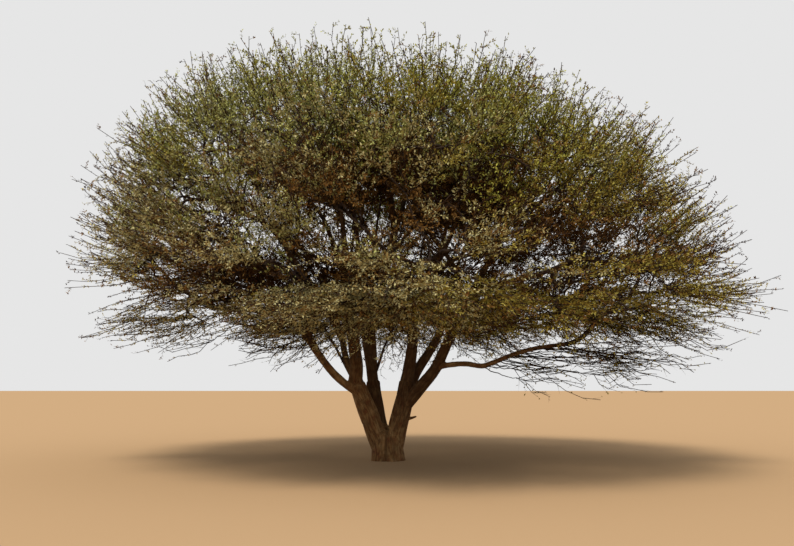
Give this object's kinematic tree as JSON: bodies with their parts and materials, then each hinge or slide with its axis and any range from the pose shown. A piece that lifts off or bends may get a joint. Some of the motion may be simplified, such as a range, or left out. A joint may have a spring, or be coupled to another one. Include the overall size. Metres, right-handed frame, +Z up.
{
  "type": "acacia tree",
  "caption": "Umbrella-crowned acacia: a short flared trunk forks into three stems, and spreading boughs carry a wide dome of fine foliage.",
  "frame": {"origin": "middle of the flat cut under the trunk, at ground level", "axes": "+Z up the trunk, +X to the right of the tree as the picture shows it, +Y away from the viewer"},
  "size_m": [14.4, 13.6579, 8.3784],
  "materials": {
    "bark": "rough, furrowed grey-brown bark",
    "foliage": "matt olive-green feathery leaves on thin dark twigs"
  },
  "bodies": {
    "root": {"trunk": "bark", "bough_low_1": "bark", "bough_low_1_inner": "bark", "bough_low_2": "bark", "bough_low_3": "bark", "bough_low_4": "bark", "bough_low_5": "bark", "bough_low_6": "bark", "bough_low_6_inner": "bark", "bough_low_7": "bark", "bough_low_8": "bark", "bough_low_9": "bark", "bough_middle_1": "bark", "bough_middle_2": "bark", "bough_middle_3": "bark", "bough_middle_4": "bark", "bough_middle_5": "bark", "bough_middle_6": "bark", "bough_middle_7": "bark", "bough_middle_8": "bark", "bough_top": "bark", "bough_upper_1": "bark", "bough_upper_2": "bark", "bough_upper_3": "bark", "bough_upper_4": "bark", "bough_upper_5": "bark", "bough_upper_6": "bark", "foliage_low_1": "foliage", "foliage_low_2": "foliage", "foliage_low_3": "foliage", "foliage_low_4": "foliage", "foliage_low_5": "foliage", "foliage_low_6": "foliage", "foliage_low_7": "foliage", "foliage_low_8": "foliage", "foliage_low_9": "foliage", "foliage_middle_1": "foliage", "foliage_middle_2": "foliage", "foliage_middle_3": "foliage", "foliage_middle_4": "foliage", "foliage_middle_5": "foliage", "foliage_middle_6": "foliage", "foliage_middle_7": "foliage", "foliage_middle_8": "foliage", "foliage_top": "foliage", "foliage_upper_1": "foliage", "foliage_upper_2": "foliage", "foliage_upper_3": "foliage", "foliage_upper_4": "foliage", "foliage_upper_5": "foliage", "foliage_upper_6": "foliage"}
  },
  "joints": []
}
